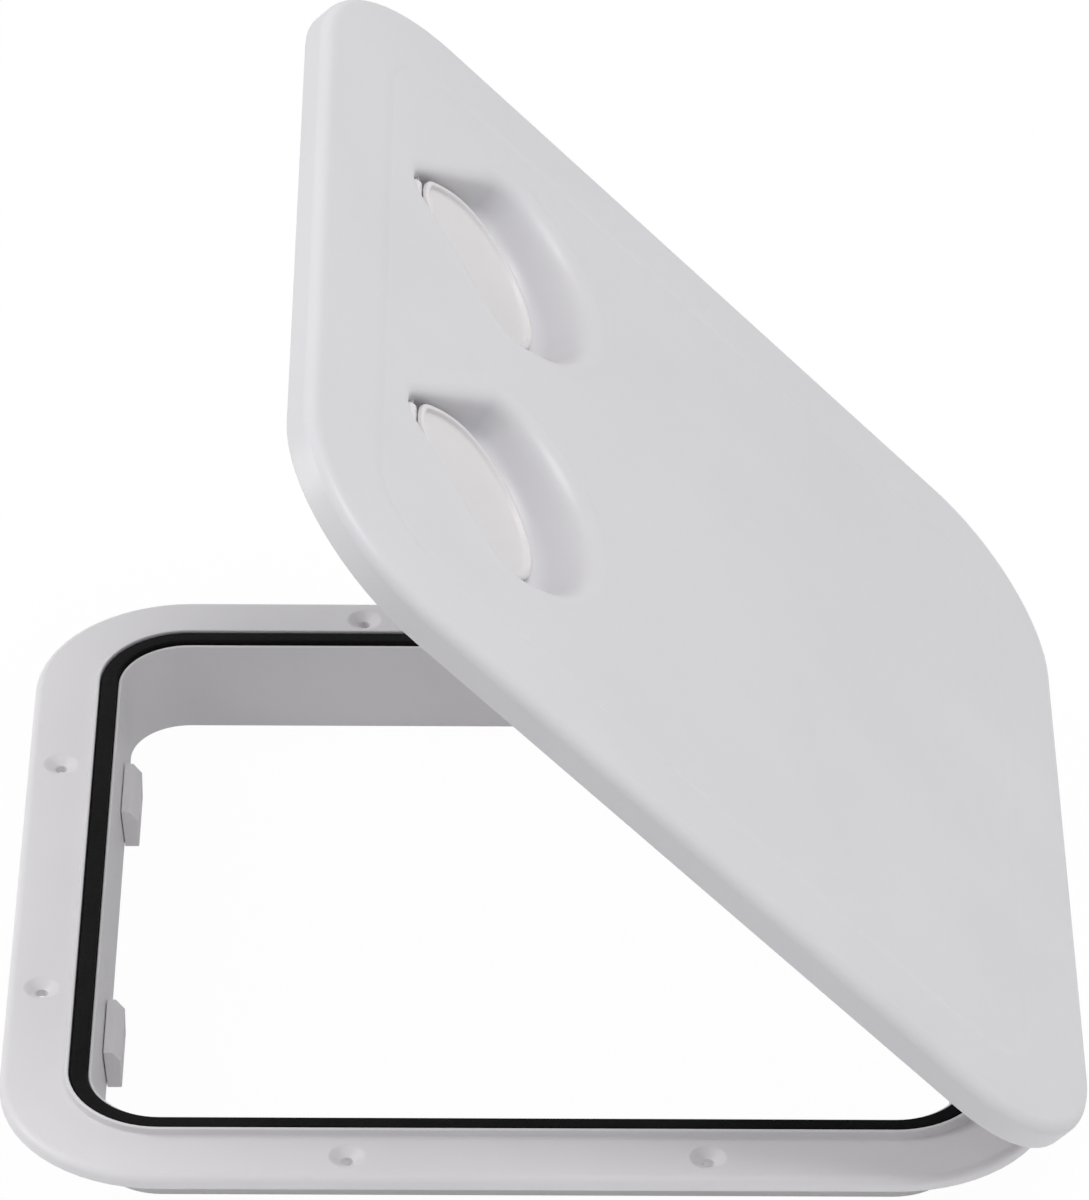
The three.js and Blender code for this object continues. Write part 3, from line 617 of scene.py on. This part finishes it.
def bowl_column(point, out, top):
    """Points down a finger bowl's wall at one place on its rim, from the panel to the floor.

    The wall leans in by its draft, rolls over at the brow and runs into the floor at its toe. The brow is
    tighter towards -Y."""
    deep = max(0, top - bowl_floor(point.x) - BOWL_SHALLOW)
    draft = deepened(BOWL_DRAFT, deep)
    toe = deepened(BOWL_TOE, deep)
    roll = deepened(BOWL_ROLL, deep)
    swell = BOWL_BEAD * min(1, deep / 6)
    start = raised(point + out * 7, top)
    bead = [raised(point + out * reach, top + swell * lift)
            for reach, lift in ((6, 0.1), (5, 0.35), (4, 0.7), (3, 0.93), (2, 1))]
    ease = 1 - 0.6 * max(0, -out.y)
    brow = raised(point - out * deepened(BOWL_BROW, deep) * ease, top + swell * ease)
    base = raised_to_floor(point - out * draft)
    end = raised_to_floor(point - out * (draft + toe))
    down = (base - brow).normalized()
    wall_top = brow + down * roll
    wall_foot = base - down * min(toe, (base - brow).length - roll - 0.7)
    column = bead + bezier(bead[-1], brow, wall_top, 7)
    column += [wall_top.lerp(wall_foot, k / 3) for k in (1, 2, 3)]
    return start, column + bezier(wall_foot, base, end, 7)


def sink_bowl(mesh, y, top):
    """Sinks a finger bowl into the panel. Returns the edges of its rim."""
    columns = [bowl_column(point, out, top) for point, out in bowl_rim()]
    ring = [mesh.verts.new(start + Vector((0, y, 0))) for start, column in columns]
    rim = [mesh.edges.new((a, b)) for a, b in zip(ring, ring[1:] + ring[:1])]
    edges = rim
    place = {v: k for k, v in enumerate(ring)}
    for level in range(len(columns[0][1])):
        before = [(v, v.co.copy()) for v in ring]
        grown = bmesh.ops.extrude_edge_only(mesh, edges=edges)["geom"]
        fresh = [g for g in grown if isinstance(g, bmesh.types.BMVert)]
        near = {tuple(round(c, 4) for c in co): place[v] for v, co in before}
        place = {v: near[tuple(round(c, 4) for c in v.co)] for v in fresh}
        for v in fresh:
            v.co = columns[place[v]][1][level] + Vector((0, y, 0))
        ring = fresh
        kept = set(fresh)
        edges = [g for g in grown if isinstance(g, bmesh.types.BMEdge) and all(v in kept for v in g.verts)]
    floor = bmesh.ops.triangle_fill(mesh, use_beauty=True, edges=edges)["geom"]
    faces = [g for g in floor if isinstance(g, bmesh.types.BMFace)]
    for step in range(-9, 6):
        geometry = faces + list({e for f in faces for e in f.edges}) + list({v for f in faces for v in f.verts})
        cut = bmesh.ops.bisect_plane(mesh, geom=geometry, plane_co=(BOWL_FLAT_X + step * 3, 0, 0),
                                     plane_no=(1, 0, 0), dist=0.001)
        faces = [g for g in cut["geom"] if isinstance(g, bmesh.types.BMFace)]
    kept = set(ring)
    for v in {v for f in faces for v in f.verts} - kept:
        v.co.z = bowl_floor(v.co.x)
    return rim


def lid_section():
    panel = LID_TOP - PANEL_RECESS
    points = [(0.45, LID_BOTTOM), (0.12, LID_BOTTOM + 0.12), (0, LID_BOTTOM + 0.45)]
    points += arc((LID_ROUND, LID_TOP - LID_ROUND), LID_ROUND, 180, 90, 9)
    for share in (0, 0.12, 0.3, 0.5, 0.7, 0.88, 1):
        fall = share * share * (3 - 2 * share)
        points.append((PANEL_INSET + PANEL_SLOPE * share, LID_TOP - PANEL_RECESS * fall))
    points.append((PANEL_INSET + PANEL_SLOPE + 2, panel))
    return points


def cross_ribs(mesh):
    low = LID_TOP - LID_SKIN - RIB_DEPTH
    high = LID_TOP - LID_SKIN + 0.8
    reach = FRAME_WIDTH / 2 - SEAL_RIB_INSET
    for x in CROSS_RIBS:
        block(mesh, (x - RIB / 2, -reach, low), (x + RIB / 2, reach, high))


def long_ribs(mesh):
    low = LID_TOP - LID_SKIN - RIB_DEPTH - 0.02
    high = LID_TOP - LID_SKIN + 0.78
    reach = FRAME_LENGTH / 2 - SEAL_RIB_INSET
    whole = ((-reach, reach),)
    parted = ((-reach, -112), (-78, reach))
    for y, spans in ((-120, whole), (5.5, whole), (125, parted)):
        for start, end in spans:
            block(mesh, (start, y - RIB / 2, low), (end, y + RIB / 2, high))


def seal_rib(mesh):
    """The rib that presses on the gasket."""
    half = SEAL_RIB / 2
    top = LID_TOP - LID_SKIN + 0.9
    foot = GASKET_TOP + FIT
    section = [(SEAL_RIB_INSET - half, top), (SEAL_RIB_INSET - half, foot + 0.5),
               (SEAL_RIB_INSET - half + 0.5, foot), (SEAL_RIB_INSET + half - 0.5, foot),
               (SEAL_RIB_INSET + half, foot + 0.5), (SEAL_RIB_INSET + half, top)]
    swept_section(mesh, section, True, FRAME_LENGTH, FRAME_WIDTH, FRAME_CORNER)


def skirt_relief(mesh):
    """What is cut from the skirt along the hinge, so that the lid swings past the flange."""
    block(mesh, (LID_LENGTH / 2 - LID_CORNER / 2, -HINGE_SKIRT_HALF, LID_BOTTOM - 1),
          (LID_LENGTH / 2 + 1, HINGE_SKIRT_HALF, HINGE_SKIRT_BOTTOM))


def knuckle_middles():
    for y in HINGE_SIDES:
        for side in (-1, 1):
            yield y + side * (LUG_LENGTH / 2 + FIT + KNUCKLE_LENGTH / 2)


def knuckle_webs(mesh):
    for middle in knuckle_middles():
        low = (HINGE_X - HINGE_BARREL, middle - KNUCKLE_LENGTH / 2, HINGE_Z)
        high = (LID_LENGTH / 2 - LID_SKIN / 2, middle + KNUCKLE_LENGTH / 2, LID_TOP - LID_SKIN + 1)
        block(mesh, low, high)


def knuckle_barrels(mesh):
    for middle in knuckle_middles():
        bar(mesh, "y", HINGE_BARREL, KNUCKLE_LENGTH, (HINGE_X, middle, HINGE_Z), bevel=0.3)


def latch_bosses(mesh):
    high = LID_TOP - LID_SKIN + 0.7
    for y in LATCH_Y.values():
        for side in (-1, 1):
            centre = (PIVOT_X, y + side * BOSS_Y, (high + BOSS_BOTTOM) / 2)
            bar(mesh, "z", BOSS_RADIUS, high - BOSS_BOTTOM, centre, bevel=0.3)


def lid_openings(mesh):
    """The pins' bores, the slots that the handles' shanks pass through, and the notches beside the lugs."""
    for y in HINGE_SIDES:
        bar(mesh, "y", HINGE_PIN + FIT, LUG_LENGTH + 2 * KNUCKLE_LENGTH + 3, (HINGE_X, y, HINGE_Z))
    half = SHANK_WIDTH / 2 + SLOT_CLEARANCE
    for y in LATCH_Y.values():
        block(mesh, (SHANK_X - SLOT_CLEARANCE, y - half, BOWL_FLOOR_START - 15),
              (SHANK_X + SHANK_THICKNESS + SLOT_TRAVEL, y + half, BOWL_FLOOR_START + 2), 0.4)
    for y in HINGE_SIDES:
        for side in (-1, 1):
            middle = y + side * (LUG_LENGTH + FIT) / 2
            block(mesh, (HINGE_X + LUG_NOTCH_START, middle - LUG_NOTCH_HALF, LID_BOTTOM - 1),
                  (LID_LENGTH / 2 + 1, middle + LUG_NOTCH_HALF, LUG_NOTCH_TOP))


def lid_surface():
    """The lid's outer surface: skirt, rim and sunk panel, with the two finger bowls."""
    mesh = bmesh.new()
    swept_section(mesh, lid_section(), False, LID_LENGTH, LID_WIDTH, LID_CORNER)
    panel = LID_TOP - PANEL_RECESS
    edges = [e for e in mesh.edges if e.is_boundary and abs(e.verts[0].co.z - panel) < 1e-4]
    for y in LATCH_Y.values():
        edges += sink_bowl(mesh, y, panel)
    bmesh.ops.triangle_fill(mesh, use_beauty=True, edges=edges)
    bmesh.ops.recalc_face_normals(mesh, faces=mesh.faces[:])
    top = max(mesh.faces, key=lambda f: f.calc_area())
    if top.normal.z < 0:
        bmesh.ops.reverse_faces(mesh, faces=mesh.faces[:])
    return mesh


def lid_panel():
    lid = as_object("lid_panel", lid_surface(), closed=False)
    wall = lid.modifiers.new("wall", "SOLIDIFY")
    wall.thickness = LID_SKIN
    wall.offset = -1
    wall.use_even_offset = True
    baked(lid)
    changed(lid, "DIFFERENCE", skirt_relief)
    changed(lid, "UNION", seal_rib, cross_ribs, long_ribs, knuckle_webs, knuckle_barrels, latch_bosses)
    changed(lid, "DIFFERENCE", lid_openings)
    return finished(lid, LID_PLACE, "lid", lid_plastic, ["lid_shell"])


# ---- Handles ----
def handle_outline(steps=88):
    """The handle's oval from above, about its pivot, kept clear of the bowl's pointed end."""
    points = []
    for k in range(steps):
        angle = 2 * math.pi * (k + 0.5) / steps
        x = HANDLE_LENGTH / 2 * math.cos(angle)
        y = HANDLE_WIDTH / 2 * abs(math.sin(angle))
        room = HANDLE_X + x * math.cos(HANDLE_SLOPE) - BOWL_TIP_X + (BOWL_TIP - HANDLE_SIDE_GAP) * math.sqrt(2)
        width = (y ** -5 + max(room, 0.1) ** -5) ** -0.2
        points.append(Vector((x, math.copysign(width, math.sin(angle)), 0)))
    return points


# The handle's rings, each a share of its outline and a height, from its underside over the rim to its dish.
HANDLE_RINGS = [
    (0.30, -4.9), (0.56, -4.7), (0.80, -3.9), (0.93, -3.0), (0.98, -2.3), (1.0, -1.6), (1.0, -0.6),
    (0.994, -0.25), (0.982, -0.05), (0.968, 0), (0.952, -0.04), (0.940, -0.25), (0.932, -0.7),
    (0.925, -1.25), (0.912, -1.65), (0.88, -1.95), (0.80, -2.45), (0.68, -3.0), (0.5, -3.4),
    (0.32, -3.6), (0.12, -3.7),
]


def handle_paddle():
    mesh = bmesh.new()
    share, height = HANDLE_RINGS[0]
    mesh.faces.new([mesh.verts.new((p.x * share, p.y * share, height)) for p in handle_outline()])
    edges = mesh.edges[:]
    for (last_share, last_height), (share, height) in zip(HANDLE_RINGS, HANDLE_RINGS[1:]):
        grown = bmesh.ops.extrude_edge_only(mesh, edges=edges)["geom"]
        fresh = [g for g in grown if isinstance(g, bmesh.types.BMVert)]
        kept = set(fresh)
        edges = [g for g in grown if isinstance(g, bmesh.types.BMEdge) and all(v in kept for v in g.verts)]
        bmesh.ops.scale(mesh, verts=fresh, vec=(share / last_share, share / last_share, 1))
        bmesh.ops.translate(mesh, verts=fresh, vec=(0, 0, height - last_height))
    bmesh.ops.contextual_create(mesh, geom=edges)
    return mesh


def handle_lever(side):
    y = LATCH_Y[side]
    half = SHANK_WIDTH / 2

    def shank(mesh):
        block(mesh, (SHANK_X, y - half, SHANK_BOTTOM),
              (SHANK_X + SHANK_THICKNESS, y + half, PIVOT_Z + 0.5), 0.5)

    def arm(mesh):
        block(mesh, (PIVOT_X, y - half + 0.1, PIVOT_Z - HANDLE_ROOT),
              (PIVOT_X + HANDLE_ARM, y + half - 0.1, PIVOT_Z + 0.4), 0.4)

    def root(mesh):
        bar(mesh, "y", HANDLE_ROOT, SHANK_WIDTH - 0.2, (PIVOT_X, y, PIVOT_Z), bevel=0.3)

    def holes(mesh):
        bar(mesh, "y", PIVOT_HOLE, 30, (PIVOT_X, y, PIVOT_Z))
        bar(mesh, "x", CLAW_SCREW_HOLE, 20, (SHANK_X, y, CLAW_SCREW_Z))

    mesh = handle_paddle()
    lean = Matrix.Translation((HANDLE_X, y, HANDLE_Z)) @ Matrix.Rotation(HANDLE_SLOPE, 4, "Y")
    bmesh.ops.transform(mesh, verts=mesh.verts[:], matrix=lean)
    lever = as_object(f"handle_lever_{side}", mesh)
    changed(lever, "UNION", shank, arm, root)
    changed(lever, "DIFFERENCE", holes)
    return finished(lever, LID_PLACE, f"latch_{side}", handle_plastic, [f"latch_handle_{side}"])


# ---- Small parts ----
def softened(name, new_name, material, width):
    """A copy of a small part, its flat faces merged and its edges softened."""
    source = frame["nodes"][name]
    data = source.data.copy()
    mesh = bmesh.new()
    mesh.from_mesh(data)
    bmesh.ops.remove_doubles(mesh, verts=mesh.verts[:], dist=1e-6)
    bmesh.ops.dissolve_limit(mesh, angle_limit=math.radians(1), verts=mesh.verts[:], edges=mesh.edges[:])
    for face in mesh.faces:
        face.smooth = True
    for edge in mesh.edges:
        edge.smooth = len(edge.link_faces) == 2 and edge.calc_face_angle(0) < math.radians(35)
    mesh.to_mesh(data)
    mesh.free()
    thing = bpy.data.objects.new(new_name, data)
    bpy.context.scene.collection.objects.link(thing)
    data.materials.clear()
    data.materials.append(material)
    soft = thing.modifiers.new("soft_edges", "BEVEL")
    soft.width = width
    soft.segments = 2
    soft.limit_method = "ANGLE"
    soft.angle_limit = math.radians(30)
    normals = thing.modifiers.new("even_shading", "WEIGHTED_NORMAL")
    normals.keep_sharp = True
    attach(thing, source["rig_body"])
    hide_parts(name)
    return thing


frame_moulding()
gasket_seal()
lid_panel()
for side in LATCH_Y:
    handle_lever(side)
    softened(f"keeper_{side}", f"keeper_block_{side}", keeper_plastic_painted_light, 0.0004)
    softened(f"latch_housing_{side}", f"spring_housing_{side}", housing_plastic, 0.0003)
    softened(f"latch_claw_{side}", f"claw_plate_{side}", claw_steel, 0.0002)

PART_FINISHES = {
    "hinge_pin": pin_steel,
    "latch_pivot_pin": pin_steel,
    "keeper_screw": screw_steel,
    "claw_screw": screw_steel,
    "housing_screw": screw_steel,
    "latch_spring": spring_steel,
}
for name, part in frame["nodes"].items():
    for start, finish in PART_FINISHES.items():
        if name.startswith(start):
            part.data.materials.clear()
            part.data.materials.append(finish)


# ---- Studio ----
FLOOR_GLOW = 0.13
CAMERA_LENS = 232.26
CAMERA_PLACE = (-4.78, -2178.38, 1603.25)
CAMERA_AZIMUTH = -0.2606
CAMERA_ELEVATION = 34.314
CAMERA_ROLL = 0.381


def studio_floor():
    mesh = bmesh.new()
    bmesh.ops.create_grid(mesh, x_segments=1, y_segments=1, size=6)
    floor = as_object("studio_floor", mesh)
    material = bpy.data.materials.new("studio_floor_white")
    material.use_nodes = True
    tree = material.node_tree
    tree.nodes.clear()
    seen = node(tree, "ShaderNodeLightPath")
    share = node(tree, "ShaderNodeMath", {0: seen.outputs["Is Camera Ray"], 1: 0.965}, operation="MULTIPLY")
    pale = node(tree, "ShaderNodeBsdfDiffuse", {"Color": (0.82, 0.82, 0.82, 1)})
    glow = node(tree, "ShaderNodeEmission", {"Color": (1, 1, 1, 1), "Strength": FLOOR_GLOW})
    matt = node(tree, "ShaderNodeAddShader", {0: pale.outputs[0], 1: glow.outputs[0]})
    bright = node(tree, "ShaderNodeEmission", {"Color": (1, 1, 1, 1), "Strength": 1.0})
    mixed = node(tree, "ShaderNodeMixShader", {0: share.outputs[0], 1: matt.outputs[0], 2: bright.outputs[0]})
    node(tree, "ShaderNodeOutputMaterial", {"Surface": mixed.outputs[0]})
    floor.data.materials.append(material)


def studio_world(level):
    world = bpy.data.worlds.new("studio_world")
    bpy.context.scene.world = world
    world.use_nodes = True
    tree = world.node_tree
    tree.nodes.clear()
    rays = node(tree, "ShaderNodeLightPath")
    seen = node(tree, "ShaderNodeMath", {0: rays.outputs["Is Camera Ray"], 1: rays.outputs["Is Glossy Ray"]},
                operation="MAXIMUM")
    soft = node(tree, "ShaderNodeBackground", {"Color": (0.97, 0.98, 1.0, 1), "Strength": level})
    white = node(tree, "ShaderNodeBackground", {"Color": (1, 1, 1, 1), "Strength": 1.0})
    mixed = node(tree, "ShaderNodeMixShader", {0: seen.outputs[0], 1: soft.outputs[0], 2: white.outputs[0]})
    node(tree, "ShaderNodeOutputWorld", {"Surface": mixed.outputs[0]})


def soft_lamp(name, power, size, place, target=(0, 0, 0.12)):
    lamp = bpy.data.lights.new(name, "AREA")
    lamp.energy = power
    lamp.size = size
    lamp.shape = "SQUARE"
    thing = bpy.data.objects.new(name, lamp)
    thing.location = place
    aim = Vector(place) - Vector(target)
    thing.rotation_euler = aim.to_track_quat("Z", "Y").to_euler()
    bpy.context.scene.collection.objects.link(thing)


def studio_camera():
    data = bpy.data.cameras.new("studio_camera")
    data.sensor_fit = "VERTICAL"
    data.sensor_height = 36
    data.lens = CAMERA_LENS
    data.clip_end = 20
    camera = bpy.data.objects.new("studio_camera", data)
    az, el = math.radians(CAMERA_AZIMUTH), math.radians(CAMERA_ELEVATION)
    turn = (Matrix.Rotation(az, 4, "Z") @ Matrix.Rotation(QUARTER - el, 4, "X")
            @ Matrix.Rotation(math.radians(CAMERA_ROLL), 4, "Z"))
    place = FRAME_PLACE @ Vector(CAMERA_PLACE)
    camera.matrix_world = Matrix.Translation(place) @ turn
    bpy.context.scene.collection.objects.link(camera)
    bpy.context.scene.camera = camera


studio_floor()
studio_world(0.42)
soft_lamp("overhead_lamp", 35, 1.2, (0.75, -0.3, 2.45))
soft_lamp("side_lamp", 21, 1.0, (-2.0, 0.3, 1.35))
soft_lamp("front_lamp", 4, 1.8, (0.1, -2.4, 1.5))
studio_camera()
bpy.context.scene.view_settings.view_transform = "Standard"
